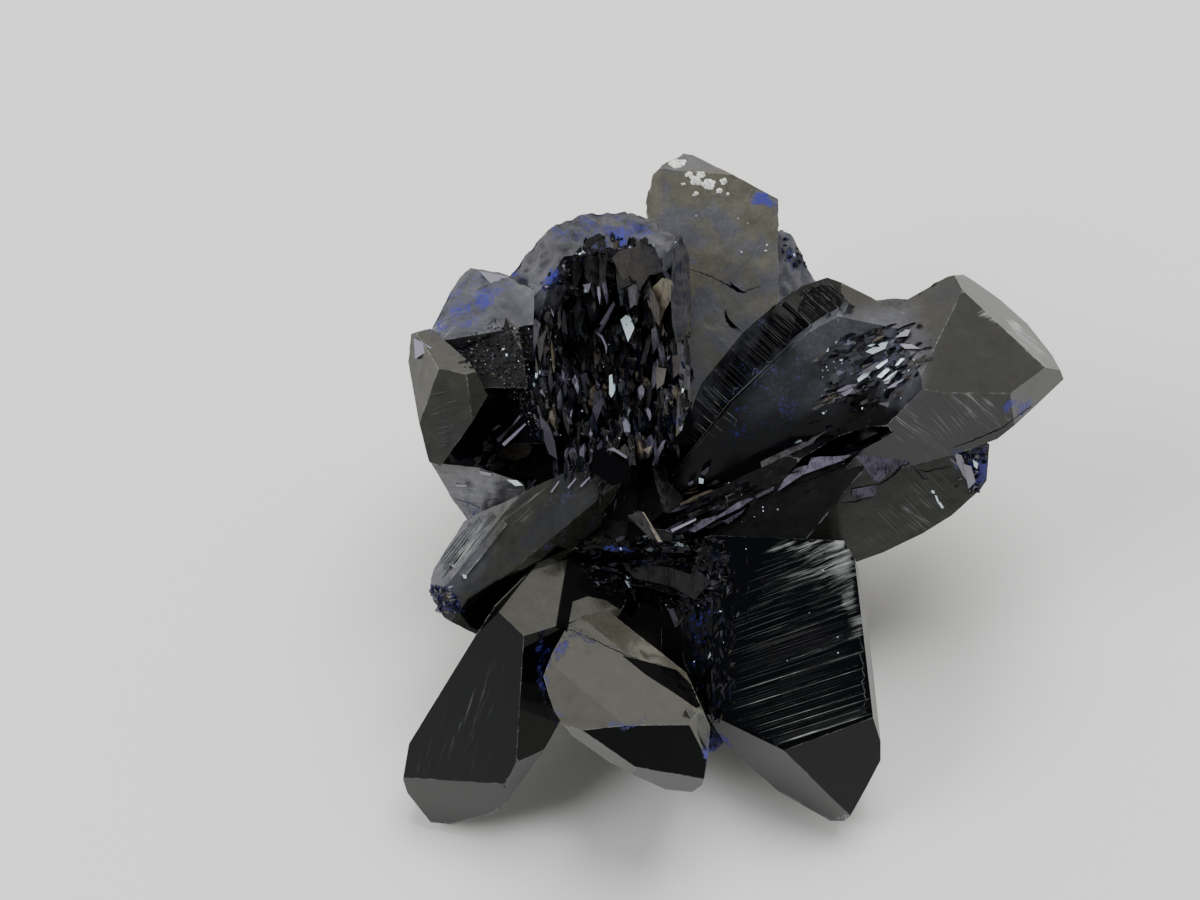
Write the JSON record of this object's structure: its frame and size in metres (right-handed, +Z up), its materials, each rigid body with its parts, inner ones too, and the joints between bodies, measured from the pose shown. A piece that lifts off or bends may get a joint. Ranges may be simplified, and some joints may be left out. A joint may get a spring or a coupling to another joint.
{
  "type": "azurite specimen",
  "caption": "Rosette of near-black, glassy bladed crystals grown together, with a crystal-lined hollow, cut off flat below.",
  "frame": {"origin": "on the flat break under the root, below the middle of the fan of crystals", "axes": "+Z up, square to the flat break; -Y the side the open face of the rosette leans towards; +X to the right seen from that side"},
  "size_m": [0.0472, 0.0472, 0.026],
  "materials": {
    "azurite": "glassy, near-black blue crystal faces"
  },
  "bodies": {
    "root": {"azurite_cluster": "azurite"}
  },
  "joints": []
}
